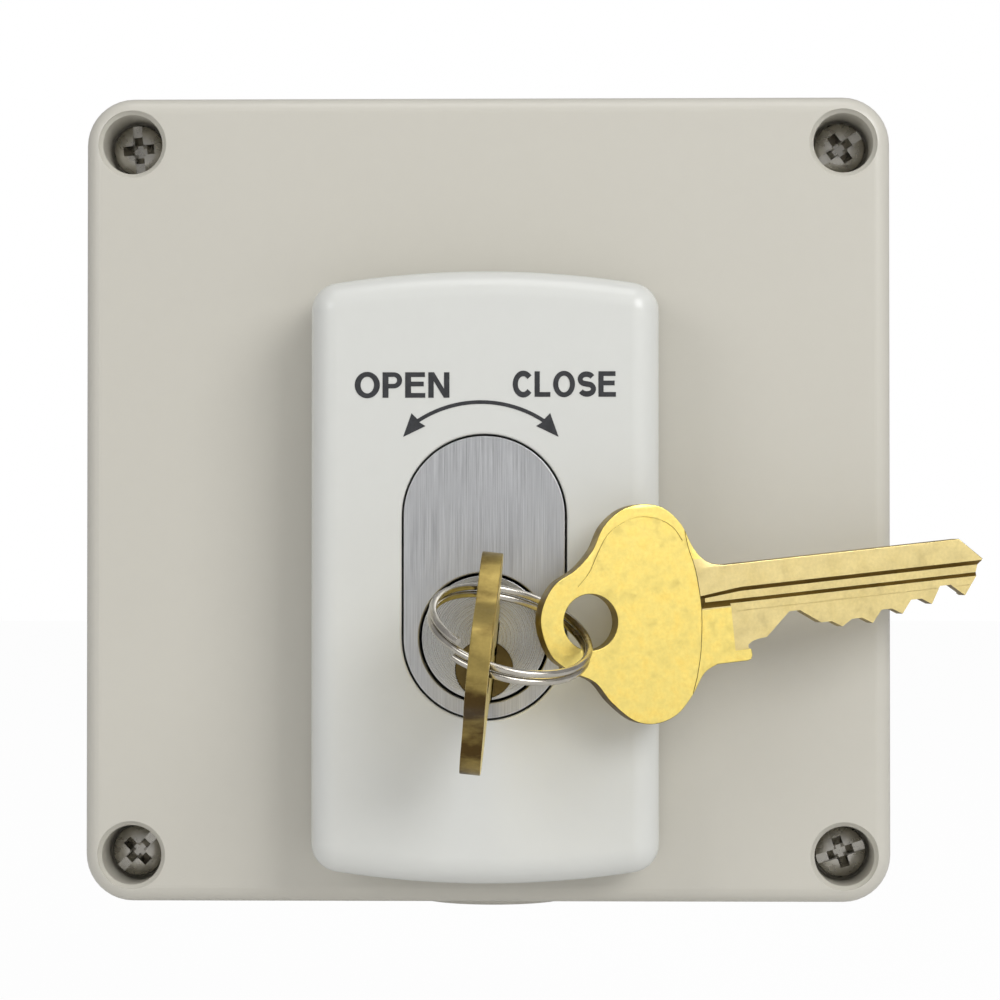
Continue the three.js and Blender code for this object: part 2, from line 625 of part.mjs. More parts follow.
function wiring() {
  add(model, "terminal_block", terminalBlock(), blockWhite);
  [-1, 0, 1].forEach((way, i) => {
    add(model, `terminal_screw_${i + 1}`, terminalScrew(way * BLOCK.pitch), stainless);
  });
  const tabZ = PLUNGER_Z - 1.6;
  const open = LOCK_Y - 7; // the left-hand block is turned half round, so its contact tab is below
  const close = LOCK_Y + 7;
  const run = (way) => [[way * BLOCK.pitch, 20, 9], [way * BLOCK.pitch, 30, 9]];
  const wireOpen = [[-24, open, tabZ], [-31, open, 28], [-34, -10, 16], [-20, 10, 9], ...run(-1)];
  const wireClose = [[24, close, tabZ], [31, close, 28], [32, 2, 16], [20, 12, 9], ...run(1)];
  const wireCommon = [
    [24, LOCK_Y - 7, tabZ], [29, -30, 26], [14, -38, 14], [-14, -34, 12], [-10, -10, 12], ...run(0),
  ];
  const wireLink = [[-24, LOCK_Y + 7, tabZ], [-30, 0, 26], [-14, 4, 20], [-4, 8, 14], [-1.9, 21, 12.4]];
  add(model, "wire_open", lead(wireOpen, 26), blackPlastic);
  add(model, "wire_close", lead(wireClose, 26), blackPlastic);
  add(model, "wire_common_close", lead(wireCommon, 34), blackPlastic);
  add(model, "wire_common_open", lead(wireLink, 22), blackPlastic);
}

// ---------------------------------------------------------------- keys and ring
// Key outline in its own plane: u runs from the bow to the tip with 0 at the shoulder, v towards the spine.
function keyShape() {
  const bow = [
    [-2.6, 5.7], [-4.2, 7.5], [-5.5, 10.6], [-7.6, 12.8], [-10.3, 13.5], [-13, 13], [-15.4, 11.2],
    [-17, 8.6], [-19.3, 6.5], [-22.2, 4.9], [-24, 2.2], [-24.3, -0.5], [-23.3, -3.7], [-21, -5.7],
    [-18.3, -7.3], [-16.5, -9.9], [-13.9, -12.4], [-11.2, -13.1], [-8.4, -12.3], [-6.2, -10.2],
    [-4.4, -7.7], [-2.6, -6.8],
  ];
  const shape = new THREE.Shape();
  shape.moveTo(-0.6, KEY_SPINE);
  shape.splineThru(bow.map(([u, v]) => new THREE.Vector2(u, v)));
  const lugAndRoot = [[1.3, -6.8], [1.95, -6.2], [1.95, -4.3], [4.1, -4.2]];
  lugAndRoot.forEach(([u, v]) => shape.lineTo(u, v));
  CUT_DEPTHS.forEach((v, i) => {
    const u = CUT_START + CUT_PITCH * i;
    const crest = Math.min(v, CUT_DEPTHS[i + 1] ?? v) - 0.8;
    shape.lineTo(u - 0.7, v);
    shape.lineTo(u + 0.7, v);
    if (i > 0 && i < CUT_DEPTHS.length - 1) shape.lineTo(u + CUT_PITCH / 2, Math.max(crest, -4.15));
  });
  const tip = [[30.5, -1.9], [32.2, 0.3], [33.2, 2.4], [30.3, KEY_SPINE]];
  tip.forEach(([u, v]) => shape.lineTo(u, v));
  return shape;
}

function keyGeometry() {
  const shape = keyShape();
  const options = { depth: KEY_THICK, bevelEnabled: false, curveSegments: 2 };
  const blank = new THREE.ExtrudeGeometry(shape, options).translate(0, 0, -KEY_THICK / 2);
  const hole = rodZ(KEY_HOLE.u, 0, KEY_HOLE.radius, -5, 5, 20);
  const face = KEY_THICK / 2;
  const frontGroove = block(-3.6, 40, 0.4, 2, face - 0.75, face + 1);
  const backGroove = block(-3.6, 40, -1.6, -0.5, -face - 1, -face + 0.55);
  return cut(blank, hole, frontGroove, backGroove);
}

// Puts a key with its shoulder at "place", its tip pointing along "along" and its spine towards "spine".
function placeKey(mesh, place, along, spine) {
  const side = new THREE.Vector3().crossVectors(along, spine).normalize();
  const up = new THREE.Vector3().crossVectors(side, along).normalize();
  mesh.setRotationFromMatrix(new THREE.Matrix4().makeBasis(along.normalize(), up, side));
  mesh.position.copy(place);
}

function keyRing() {
  const along = new THREE.Vector3(RING_NORMAL.y, -RING_NORMAL.x, 0).normalize();
  const across = new THREE.Vector3().crossVectors(RING_NORMAL, along);
  class SplitRing extends THREE.Curve {
    getPoint(t, target = new THREE.Vector3()) {
      const angle = RING_START + 4 * Math.PI * t;
      return target
        .copy(RING_PLACE)
        .addScaledVector(along, RING_RADIUS * Math.cos(angle))
        .addScaledVector(across, RING_RADIUS * Math.sin(angle))
        .addScaledVector(RING_NORMAL, RING_PITCH * (2 * t - 1));
    }
  }
  return wire(new SplitRing(), RING_WIRE, 60, 6);
}

function keys(plugGroup) {
  const key = add(plugGroup, "key", keyGeometry(), keyBrass);
  const into = new THREE.Vector3(0, 0, -1);
  const down = new THREE.Vector3(0, -1, 0);
  placeKey(key, new THREE.Vector3(KEY_X, KEY_AXIS_Y, KEY_SHOULDER_Z), into, down);

  add(model, "key_ring", keyRing(), ringNickel);

  const along = new THREE.Vector3(
    Math.cos(SPARE_LEAN) * Math.cos(SPARE_CLIMB),
    Math.sin(SPARE_CLIMB),
    -Math.sin(SPARE_LEAN) * Math.cos(SPARE_CLIMB),
  );
  const shoulder = SPARE_HOLE.clone().addScaledVector(along, -KEY_HOLE.u);
  const facing = new THREE.Vector3(Math.sin(SPARE_LEAN), 0, Math.cos(SPARE_LEAN));
  const spine = new THREE.Vector3().crossVectors(facing, along);
  placeKey(add(model, "spare_key", keyGeometry(), keyBrass), shoulder, along, spine);
}

enclosure();
cover();
const plugGroup = new THREE.Group();
plugGroup.position.y = LOCK_Y;
plugGroup.rotation.z = PLUG_TURN;
model.add(plugGroup);
lock(plugGroup);
contacts(plugGroup);
wiring();
keys(plugGroup);
model.rotation.x = Math.PI / 2;

export default model;
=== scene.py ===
# The looks of a key-operated OPEN / CLOSE switch in a wall box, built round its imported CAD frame.
# Lengths are written in millimetres and turned into metres as a mesh is made. x is to the right,
# y into the wall and z up; the front faces -y.
import json
import math

import bmesh
import bpy
from mathutils import Matrix, Vector


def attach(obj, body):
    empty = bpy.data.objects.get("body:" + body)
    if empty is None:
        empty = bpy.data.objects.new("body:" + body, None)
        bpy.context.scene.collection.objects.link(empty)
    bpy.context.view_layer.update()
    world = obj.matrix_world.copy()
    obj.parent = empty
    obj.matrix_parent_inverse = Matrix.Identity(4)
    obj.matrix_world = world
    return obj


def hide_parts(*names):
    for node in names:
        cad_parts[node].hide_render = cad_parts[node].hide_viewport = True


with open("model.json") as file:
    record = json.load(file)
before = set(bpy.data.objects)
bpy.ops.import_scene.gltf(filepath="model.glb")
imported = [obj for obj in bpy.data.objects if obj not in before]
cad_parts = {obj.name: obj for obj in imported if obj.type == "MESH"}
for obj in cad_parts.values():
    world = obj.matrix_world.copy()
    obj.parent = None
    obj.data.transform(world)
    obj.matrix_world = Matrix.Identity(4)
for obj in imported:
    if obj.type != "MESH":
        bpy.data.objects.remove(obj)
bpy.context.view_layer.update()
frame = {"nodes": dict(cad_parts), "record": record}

MM = 0.001
BOX_SIDE = 102
BOX_CORNER = 6
BASE_FRONT = -42
LID_BACK = -42.2
LID_FRONT = -56
LID_INSIDE = -53
WALL = 2.6
SCREW_PLACE = 45.1  # lid screws, from the box's centre lines
SCREW_SEAT = -46.6  # the face that the screw heads bear on
SCREW_HEAD = 3.3
SCREW_SHANK = 1.75
SCREW_TURNS = (-95, -35, -45, -18)  # degrees that each screw head is turned by
RECESS = 3.75  # radius of the wells that the screw heads sit in
PILLAR = 7.2  # radius of the solid pillar round a lid screw
ENTRY_Y = -21  # centre of the cable entry in the bottom wall
ENTRY_RADIUS = 12.6
WALL_HOLE = (30, 39)  # holes for the wall screws, from the box's centre lines

COVER_SIZE = (43, 75.7)
COVER_CROWN = 1.4  # how far the curved top and bottom edges bulge
COVER_CORNER = 3.6
COVER_BACK = -56.8
COVER_FRONT = -69
COVER_Z = -9.8
COVER_WALL = 2.2
COVER_SCREW_Z = (20.5, -40.5)
BRACKET_SCREW_Z = (12.2, -32.4)
PRINT_THICK = 0.05
LETTER_HEIGHT = 3.13
PLATE_SIZE = (19.8, 34.7)
LOCK_Z = COVER_Z - (PLATE_SIZE[1] - PLATE_SIZE[0]) / 2  # the plug turns about this line
PLUG_TURN = math.radians(6)  # the plug stands slightly clockwise of its centre
PLUG_RADIUS = 7.7
PLUG_FRONT = -68.8
BORE_RADIUS = 8.03
NOSE_X = 0.4  # round brass nose that shows in the plug's steel face
NOSE_DROP = -3.84
NOSE_RADIUS = 3.6

KEY_THICK = 2.5
KEY_X = 0.3  # the keyway is slightly off the plug's centre
KEYWAY_HALF = 1.4
KEY_HOLE_U = -18.1  # u and v are the key's own directions: see key_outline
KEY_HOLE_RADIUS = 3.4
KEY_SHOULDER_Y = -71.1
KEY_AXIS_DROP = -2.5  # the key's centre line, from the plug's axis
KEY_SPINE = 5.15
CUT_START = 8  # first cut, from the shoulder
CUT_PITCH = 4
CUT_DEPTHS = (-1.4, -3.2, -3.2, -2.5, -1.7, -0.4)

RING_RADIUS = 9.65
RING_WIRE = 0.46
RING_PITCH = 1.05
RING_PLACE = (3.39, -81.9, -16.33)
RING_NORMAL = (0.258, -0.432, 0.865)
RING_START = -124  # where the wire starts, in degrees
SPARE_HOLE = (12.7, -75.9, -15.17)  # centre of the spare key's hole
SPARE_LEAN = math.radians(16.5)  # tip away from the viewer
SPARE_CLIMB = math.radians(5.9)  # tip above the bow

CAMERA_PLACE = (11.63, -496, -6.83)
CAMERA_TARGET = (1.64, -56, -0.13)
CAMERA_LENS = 125.3
FLOOR_LEVEL = -75


# ---------------------------------------------------------------- outlines, as lists of (x, z)
def arc(cx, cz, radius, start, end, steps):
    """Points of an arc, in degrees, with both of its ends."""
    points = []
    for i in range(steps + 1):
        angle = math.radians(start + (end - start) * i / steps)
        points.append((cx + radius * math.cos(angle), cz + radius * math.sin(angle)))
    return points


def rounded_rect(width, height, radius, steps=10):
    x = width / 2 - radius
    z = height / 2 - radius
    corners = ((x, z, 0), (-x, z, 90), (-x, -z, 180), (x, -z, 270))
    points = []
    for cx, cz, start in corners:
        points += arc(cx, cz, radius, start, start + 90, steps)
    return points


def pill(width, height, steps=40):
    radius = width / 2
    z = height / 2 - radius
    return arc(0, z, radius, 0, 180, steps) + arc(0, -z, radius, 180, 360, steps)


def barrel(width, height, crown, radius, steps=8):
    """Straight sides, and a top and a bottom edge that bulge outwards by crown."""
    corner_x = width / 2 - radius
    reach = (corner_x * corner_x + crown * crown) / (2 * crown)
    sweep = math.asin(corner_x / reach)
    rise = reach + radius
    centre_z = height / 2 - rise
    corner_z = centre_z + reach * math.cos(sweep)
    lean = math.degrees(sweep)
    points = arc(corner_x, corner_z, radius, 0, 90 - lean, steps)
    points += arc(0, centre_z, rise, 90 - lean, 90 + lean, 3 * steps)[1:-1]
    points += arc(-corner_x, corner_z, radius, 90 + lean, 180, steps)
    points += arc(-corner_x, -corner_z, radius, 180, 270 - lean, steps)
    points += arc(0, -centre_z, rise, 270 - lean, 270 + lean, 3 * steps)[1:-1]
    points += arc(corner_x, -corner_z, radius, 270 + lean, 360, steps)
    return points


def moved(points, dx, dz):
    return [(x + dx, z + dz) for x, z in points]


# ---------------------------------------------------------------- mesh helpers
def mesh_object(name, vertices, faces):
    mesh = bpy.data.meshes.new(name)
    mesh.from_pydata([Vector(v) * MM for v in vertices], [], faces)
    obj = bpy.data.objects.new(name, mesh)
    bpy.context.scene.collection.objects.link(obj)
    clean(obj)
    return obj


def clean(obj, distance=1e-7):
    """Merges double vertices and turns every face outwards."""
    work = bmesh.new()
    work.from_mesh(obj.data)
    bmesh.ops.remove_doubles(work, verts=work.verts, dist=distance)
    bmesh.ops.recalc_face_normals(work, faces=work.faces)
    work.to_mesh(obj.data)
    work.free()


def loft(name, loops):
    """A closed solid through loops of equally many points, with a flat face at each end."""
    count = len(loops[0])
    vertices = [point for loop in loops for point in loop]
    faces = [tuple(range(count)), tuple(range(len(vertices) - count, len(vertices)))]
    for row in range(len(loops) - 1):
        for i in range(count):
            j = (i + 1) % count
            low, high = row * count, (row + 1) * count
            faces.append((low + i, low + j, high + j, high + i))
    return mesh_object(name, vertices, faces)


def prism(name, outline, back, front, back_round=0.0, front_round=0.0, steps=6):
    """outline(inset) gives the points at that inset. The solid runs from y = back to y = front."""
    loops = []
    if back_round:
        for k in range(steps):
            angle = math.pi / 2 * k / steps
            inset = back_round * (1 - math.sin(angle))
            loops.append((inset, back - back_round * (1 - math.cos(angle))))
    loops.append((0, back - back_round))
    loops.append((0, front + front_round))
    if front_round:
        for k in range(1, steps + 1):
            angle = math.pi / 2 * k / steps
            inset = front_round * (1 - math.cos(angle))
            loops.append((inset, front + front_round * (1 - math.sin(angle))))
    return loft(name, [[(x, y, z) for x, z in outline(inset)] for inset, y in loops])


def turned(name, profile, centre, axis="y", segments=64):
    """A solid of revolution. profile is (radius, distance along the axis), from axis to axis."""
    rings = []
    for radius, along in profile:
        ring = arc(0, 0, max(radius, 1e-4), 0, 360, segments)[:-1]
        if axis == "y":
            rings.append([(centre[0] + a, along, centre[1] + b) for a, b in ring])
        else:
            rings.append([(centre[0] + a, centre[1] + b, along) for a, b in ring])
    return loft(name, rings)


def rod(centre, radius, start, end, axis="y", segments=48):
    return turned("tool", [(radius, start), (radius, end)], centre, axis, segments)


def block(x0, x1, y0, y1, z0, z1):
    corners = [(x0, z0), (x1, z0), (x1, z1), (x0, z1)]
    return loft("tool", [[(x, y, z) for x, z in corners] for y in (y0, y1)])


def combine(piece, tools, operation):
    """Joins or cuts the tools into the piece, and removes them."""
    for tool in tools:
        step = piece.modifiers.new("step", "BOOLEAN")
        step.operation = operation
        step.solver = "EXACT"
        step.object = tool
        graph = bpy.context.evaluated_depsgraph_get()
        result = bpy.data.meshes.new_from_object(piece.evaluated_get(graph))
        piece.modifiers.clear()
        piece.data = result
        bpy.data.objects.remove(tool)
    clean(piece)
    return piece


def cut(piece, *tools):
    return combine(piece, tools, "DIFFERENCE")


def join(piece, *tools):
    return combine(piece, tools, "UNION")


def baked(name, curve, distance):
    """A mesh piece made from curve data."""
    holder = bpy.data.objects.new(name, curve)
    bpy.context.scene.collection.objects.link(holder)
    graph = bpy.context.evaluated_depsgraph_get()
    mesh = bpy.data.meshes.new_from_object(holder.evaluated_get(graph))
    bpy.data.objects.remove(holder)
    piece = bpy.data.objects.new(name, mesh)
    bpy.context.scene.collection.objects.link(piece)
    clean(piece, distance)
    return piece


def solid_from_curve(name, splines, thickness, edge):
    """A flat plate with rounded edges, from closed outlines. Outlines inside others are holes."""
    data = bpy.data.curves.new(name, "CURVE")
    data.dimensions = "2D"
    data.fill_mode = "BOTH"
    data.extrude = (thickness / 2 - edge) * MM
    data.bevel_depth = edge * MM
    data.bevel_resolution = 2 if edge else 0
    data.offset = -edge * MM
    for points in splines:
        spline = data.splines.new("POLY")
        spline.points.add(len(points) - 1)
        for target, (x, z) in zip(spline.points, points):
            target.co = (x * MM, z * MM, 0, 1)
        spline.use_cyclic_u = True
    return baked(name, data, 2e-6)


def tube(name, points, radius, sides=12):
    """A round wire through the points, closed at both ends."""
    data = bpy.data.curves.new(name, "CURVE")
    data.dimensions = "3D"
    data.bevel_depth = radius * MM
    data.bevel_resolution = sides // 4
    data.use_fill_caps = True
    spline = data.splines.new("POLY")
    spline.points.add(len(points) - 1)
    for target, point in zip(spline.points, points):
        target.co = (*(Vector(point) * MM), 1)
    return baked(name, data, 1e-6)


def smooth(obj, angle=32):
    obj.data.shade_smooth()
    obj.data.set_sharp_from_angle(angle=math.radians(angle))
    even = obj.modifiers.new("even shading", "WEIGHTED_NORMAL")
    even.keep_sharp = True
    return obj


def settle(piece, body, look, nodes=(), angle=32):
    """Smooths a finished piece, paints it, ties it to its body and hides the CAD nodes it stands for."""
    smooth(piece, angle)
    piece.data.materials.clear()
    piece.data.materials.append(look)
    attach(piece, body)
    if nodes:
        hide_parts(*nodes)
    return piece


# ---------------------------------------------------------------- materials
class Nodes:
    """A small builder for node trees."""

    def __init__(self, name, color, roughness, metallic=0.0):
        self.material = bpy.data.materials.new(name)
        self.material.use_nodes = True
        self.tree = self.material.node_tree
        self.shader = self.tree.nodes["Principled BSDF"]
        self.set("Base Color", (*color, 1))
        self.set("Roughness", roughness)
        self.set("Metallic", metallic)
        self.place = self.tree.nodes.new("ShaderNodeTexCoord").outputs["Object"]

    def set(self, name, value):
        self.shader.inputs[name].default_value = value

    def link(self, source, target):
        self.tree.links.new(source, target)

    def scaled(self, scale, source=None):
        node = self.tree.nodes.new("ShaderNodeMapping")
        node.inputs["Scale"].default_value = scale
        self.link(source or self.place, node.inputs["Vector"])
        return node.outputs["Vector"]

    def noise(self, scale, detail=3.0, rough=0.5, source=None):
        node = self.tree.nodes.new("ShaderNodeTexNoise")
        node.inputs["Scale"].default_value = 1.0
        node.inputs["Detail"].default_value = detail
        node.inputs["Roughness"].default_value = rough
        if not isinstance(scale, tuple):
            scale = (scale, scale, scale)
        self.link(self.scaled(scale, source), node.inputs["Vector"])
        return node.outputs["Fac"]

    def ramp(self, source, low, high, color_low, color_high):
        node = self.tree.nodes.new("ShaderNodeValToRGB")
        node.color_ramp.elements[0].position = low
        node.color_ramp.elements[1].position = high
        node.color_ramp.elements[0].color = (*color_low, 1)
        node.color_ramp.elements[1].color = (*color_high, 1)
        self.link(source, node.inputs["Fac"])
        return node.outputs["Color"]

    def span(self, source, low, high, start=0.3, end=0.7):
        node = self.tree.nodes.new("ShaderNodeMapRange")
        node.inputs["From Min"].default_value = start
        node.inputs["From Max"].default_value = end
        node.inputs["To Min"].default_value = low
        node.inputs["To Max"].default_value = high
        self.link(source, node.inputs["Value"])
        return node.outputs["Result"]

    def height(self):
        node = self.tree.nodes.new("ShaderNodeSeparateXYZ")
        self.link(self.place, node.inputs[0])
        return node.outputs["Z"]

    def sum(self, first, second):
        node = self.tree.nodes.new("ShaderNodeMath")
        node.operation = "ADD"
        self.link(first, node.inputs[0])
        self.link(second, node.inputs[1])
        return node.outputs[0]

    def bump(self, source, depth):
        node = self.tree.nodes.new("ShaderNodeBump")
        node.inputs["Distance"].default_value = depth * MM
        node.inputs["Strength"].default_value = 1.0
        self.link(source, node.inputs["Height"])
        previous = self.shader.inputs["Normal"].links
        if previous:
            self.link(previous[0].from_socket, node.inputs["Normal"])
        self.link(node.outputs["Normal"], self.shader.inputs["Normal"])

    def paint(self, name, source):
        self.link(source, self.shader.inputs[name])


def shade(color, factor):
    return tuple(min(1.0, c * factor) for c in color)


def plastic(name, color, roughness, grain, depth):
    """Moulded plastic: a faint mottle, a fine grain and a slightly uneven gloss."""
    look = Nodes(name, color, roughness)
    mottle = look.noise(500, 3)
    look.paint("Base Color", look.ramp(mottle, 0.2, 0.8, shade(color, 0.993), shade(color, 1.007)))
    look.paint("Roughness", look.span(look.noise(400, 2), roughness - 0.03, roughness + 0.03, 0, 1))
    look.bump(look.noise(grain, 2), depth)
    return look.material


def brushed(name, color, streak, roughness):
    """Metal brushed along one direction: streak is the noise scale along x, y and z."""
    look = Nodes(name, color, roughness, 1.0)
    fine = look.noise(streak, 4, 0.65)
    look.paint("Base Color", look.ramp(fine, 0.3, 0.7, shade(color, 0.78), shade(color, 1.14)))
    look.paint("Roughness", look.span(fine, roughness - 0.08, roughness + 0.12))
    look.bump(fine, 0.012)
    return look.material


def turned_steel(name, color, centre_z):
    """Faced on a lathe: fine rings round the plug's axis."""
    look = Nodes(name, color, 0.3, 1.0)
    split = look.tree.nodes.new("ShaderNodeSeparateXYZ")
    look.link(look.place, split.inputs[0])
    level = look.tree.nodes.new("ShaderNodeMath")
    level.operation = "SUBTRACT"
    level.inputs[1].default_value = centre_z * MM
    look.link(split.outputs["Z"], level.inputs[0])
    flat = look.tree.nodes.new("ShaderNodeCombineXYZ")
    look.link(split.outputs["X"], flat.inputs["X"])
    look.link(level.outputs[0], flat.inputs["Y"])
    reach = look.tree.nodes.new("ShaderNodeVectorMath")
    reach.operation = "LENGTH"
    look.link(flat.outputs[0], reach.inputs[0])
    rings = look.noise((9000, 1, 1), 3, 0.6, reach.outputs["Value"])
    look.paint("Base Color", look.ramp(rings, 0.3, 0.7, shade(color, 0.72), shade(color, 1.2)))
    look.paint("Roughness", look.span(rings, 0.2, 0.34))
    grain = look.tree.nodes.new("ShaderNodeTangent")
    grain.direction_type = "RADIAL"
    grain.axis = "Y"
    look.set("Anisotropic", 0.6)
    look.link(grain.outputs[0], look.shader.inputs["Tangent"])
    look.bump(rings, 0.012)
    return look.material


def brass(name, color, mottle_and_shade_color, roughness, mottle_scale, marks=(400, 400, 3500), shade_towards_bottom=0.0):
    """Milled brass: speckle, a tarnished mottle, painted shade that can grow towards the bottom, and fine
    tool marks.
    """
    look = Nodes(name, color, roughness, 1.0)
    tarnish_and_shade = look.noise(mottle_scale, 5, 0.6)
    # Painted shade: when asked for, the brass is darkened towards the bottom, from z = -18 to -34 mm.
    if shade_towards_bottom:
        tarnish_and_shade = look.sum(tarnish_and_shade, look.span(look.height(), 0, shade_towards_bottom, -18 * MM, -34 * MM))
    base = look.ramp(tarnish_and_shade, 0.45, 0.68, color, mottle_and_shade_color)
    speckle = look.noise(2600, 2)
    tint = look.ramp(speckle, 0.3, 0.7, (0.9, 0.9, 0.9), (1, 1, 1))
    product = look.tree.nodes.new("ShaderNodeMix")
    product.data_type = "RGBA"
    product.blend_type = "MULTIPLY"
    product.inputs["Factor"].default_value = 1.0
    look.link(base, product.inputs[6])
    look.link(tint, product.inputs[7])
    look.paint("Base Color", product.outputs[2])
    look.paint("Roughness", look.span(look.noise(700, 3), roughness - 0.06, roughness + 0.1))
    look.bump(speckle, 0.006)
    look.bump(look.noise(marks, 2), 0.005)
    return look.material


def steel(name, color, roughness, marks=900):
    look = Nodes(name, color, roughness, 1.0)
    grain = look.noise(marks, 3)
    look.paint("Base Color", look.ramp(grain, 0.3, 0.7, shade(color, 0.85), shade(color, 1.08)))
    look.paint("Roughness", look.span(grain, roughness - 0.05, roughness + 0.08))
    look.bump(grain, 0.006)
    return look.material


def ink(name):
    look = Nodes(name, (0.02, 0.021, 0.024), 0.55)
    wear = look.noise(1500, 3)
    look.paint("Base Color", look.ramp(wear, 0.3, 0.75, (0.014, 0.015, 0.017), (0.03, 0.031, 0.034)))
    return look.material


LOOKS = {
    "box_plastic": plastic("warm grey plastic", (0.56, 0.54, 0.475), 0.31, 1400, 0.004),
    "cover_plastic": plastic("white plastic", (0.65, 0.655, 0.62), 0.24, 900, 0.0012),
    "black_plastic": plastic("black plastic", (0.02, 0.02, 0.022), 0.45, 1200, 0.01),
    "white_plastic": plastic("off-white plastic", (0.72, 0.69, 0.62), 0.4, 1200, 0.01),
    "seal_rubber": plastic("seal rubber", (0.03, 0.03, 0.03), 0.85, 2000, 0.02),
    "screw_steel": steel("stainless steel", (0.49, 0.47, 0.42), 0.28),
    "brushed_face": brushed("brushed steel", (0.58, 0.587, 0.59), (9000, 9000, 90), 0.38),
    "cast_zinc": steel("cast zinc", (0.42, 0.42, 0.41), 0.5, 500),
    "key_brass": brass("bright key brass", (0.95, 0.76, 0.225), (0.86, 0.65, 0.17), 0.34, 700),
    "plug_brass": brass("dull brass", (0.15, 0.11, 0.042), (0.105, 0.075, 0.03), 0.42, 400),
    "spring_steel": steel("spring steel", (0.45, 0.45, 0.46), 0.3),
    "ring_nickel": steel("nickel", (0.52, 0.49, 0.43), 0.2, 500),
}
PLUG_STEEL = turned_steel("turned steel", (0.51, 0.505, 0.475), LOCK_Z)
# Key edges: the key brass darkened as painted shade, with more painted shade towards the bottom, and a
# dark mottle.
EDGE_BRASS_SHADE = brass(
    "edge brass with painted shade", (0.4, 0.3, 0.095), (0.09, 0.055, 0.018), 0.4, (90, 90, 230), shade_towards_bottom=0.24
)
MILLED_BRASS = brass(
    "milled blade brass", (0.72, 0.59, 0.27), (0.68, 0.55, 0.24), 0.38, 500, marks=(2600, 300, 300)
)
# Painted shade: a dark copy of the key brass for the walls of the key's grooves.
GROOVE_WALL_SHADE = brass("groove wall painted shade", (0.2, 0.13, 0.03), (0.14, 0.09, 0.02), 0.5, 300)
PRINT = ink("print")


def paint_cad_nodes():
    """Every CAD node gets the finish of its slot and smooth round faces."""
    for entry in frame["record"]["subparts"]:
        node = frame["nodes"][entry["node"]]
        node.data.materials.clear()
        node.data.materials.append(LOOKS[entry["material_slot"]])
        smooth(node, 28)


# ---------------------------------------------------------------- the box
def screw_places():
    return [(sx * SCREW_PLACE, sz * SCREW_PLACE) for sx, sz in ((-1, 1), (1, 1), (-1, -1), (1, -1))]


def box_outline(inset):
    return rounded_rect(BOX_SIDE - 2 * inset, BOX_SIDE - 2 * inset, BOX_CORNER - inset)


def hollow(back, front, grow=0.0):
    """A tool the shape of the box's inside, which passes inside the four screw pillars."""
    side = BOX_SIDE - 2 * WALL + 2 * grow
    inside = prism("tool", lambda inset: rounded_rect(side, side, 3, 6), back, front)
    reach = PILLAR - grow
    tools = []
    for x, z in screw_places():
        tools.append(rod((x, z), reach, back + 1, front - 1))
        near_x, far_x = sorted((x - math.copysign(reach, x), math.copysign(60, x)))
        near_z, far_z = sorted((z, math.copysign(60, z)))
        tools.append(block(near_x, far_x, back + 1, front - 1, near_z, far_z))
        near_x, far_x = sorted((x, math.copysign(60, x)))
        near_z, far_z = sorted((z - math.copysign(reach, z), math.copysign(60, z)))
        tools.append(block(near_x, far_x, back + 1, front - 1, near_z, far_z))
    return cut(inside, *tools)


def base():
    shell = prism("box_base_shell", box_outline, 0, BASE_FRONT, 0.5, 0.25, 3)
    shell = cut(shell, hollow(-3, BASE_FRONT - 1))
    boss = rod((0, ENTRY_Y), ENTRY_RADIUS + 2.4, -BOX_SIDE / 2 + 1, -43.5, "z")
    entry = rod((0, ENTRY_Y), ENTRY_RADIUS, -BOX_SIDE, -40, "z")
    screw_holes = [rod(place, SCREW_SHANK + 0.3, -24, BASE_FRONT - 1) for place in screw_places()]
    wall_holes = [wall_hole(sx * WALL_HOLE[0], sz * WALL_HOLE[1]) for sx in (-1, 1) for sz in (-1, 1)]
    shell = cut(join(shell, boss), entry, *screw_holes, *wall_holes)
    settle(shell, "housing", LOOKS["box_plastic"], ["enclosure_base"])


def wall_hole(x, z):
    profile = [(2.7, 1), (2.7, 0), (2.3, -0.4), (2.3, -2.6), (2.7, -3), (2.7, -4)]
    return turned("tool", profile, (x, z), segments=32)


def recess_tool(x, z):
    """The well of a lid screw, with a step and a chamfer round its mouth."""
    mouth = RECESS + 0.5
    profile = [(RECESS - 0.3, SCREW_SEAT), (RECESS, SCREW_SEAT - 0.3), (RECESS, LID_FRONT + 0.95)]
    profile += [(RECESS + 0.08, LID_FRONT + 0.8), (mouth - 0.08, LID_FRONT + 0.45)]
    profile += [(mouth, LID_FRONT + 0.3), (mouth, LID_FRONT + 0.12), (mouth + 0.12, LID_FRONT)]
    profile.append((mouth + 0.12, LID_FRONT - 1))
    return turned("tool", profile, (x, z))


def lid():
    shell = prism("box_lid_shell", box_outline, LID_BACK, LID_FRONT, 0.25, 2.2, 8)
    shell = cut(shell, hollow(LID_BACK + 1, LID_INSIDE))
    posts = [rod((0, z), 3.6, -38, LID_INSIDE - 1) for z in BRACKET_SCREW_Z]
    shell = join(shell, *posts)
    rebate = cut(hollow(LID_BACK + 1, -43.4, 2.3), hollow(LID_BACK + 2, -44.4, -2))
    tools = [rebate]
    for x, z in screw_places():
        tools += [recess_tool(x, z), rod((x, z), SCREW_SHANK + 0.35, LID_BACK + 1, SCREW_SEAT - 1)]
    tools.append(prism("tool", lambda inset: moved(pill(*PLATE_SIZE), 0, COVER_Z), -50, LID_FRONT - 1))
    tools += [rod((0, z), 1.8, -50, LID_FRONT - 1) for z in COVER_SCREW_Z]
    tools += [rod((0, z), 1.55, -37, -48) for z in BRACKET_SCREW_Z]
    settle(cut(shell, *tools), "housing", LOOKS["box_plastic"], ["enclosure_lid"])


def oblong(half_width, half_height, y):
    """The four corners of a rectangle that faces the front."""
    signs = ((-1, -1), (1, -1), (1, 1), (-1, 1))
    return [(sx * half_width, y, sz * half_height) for sx, sz in signs]


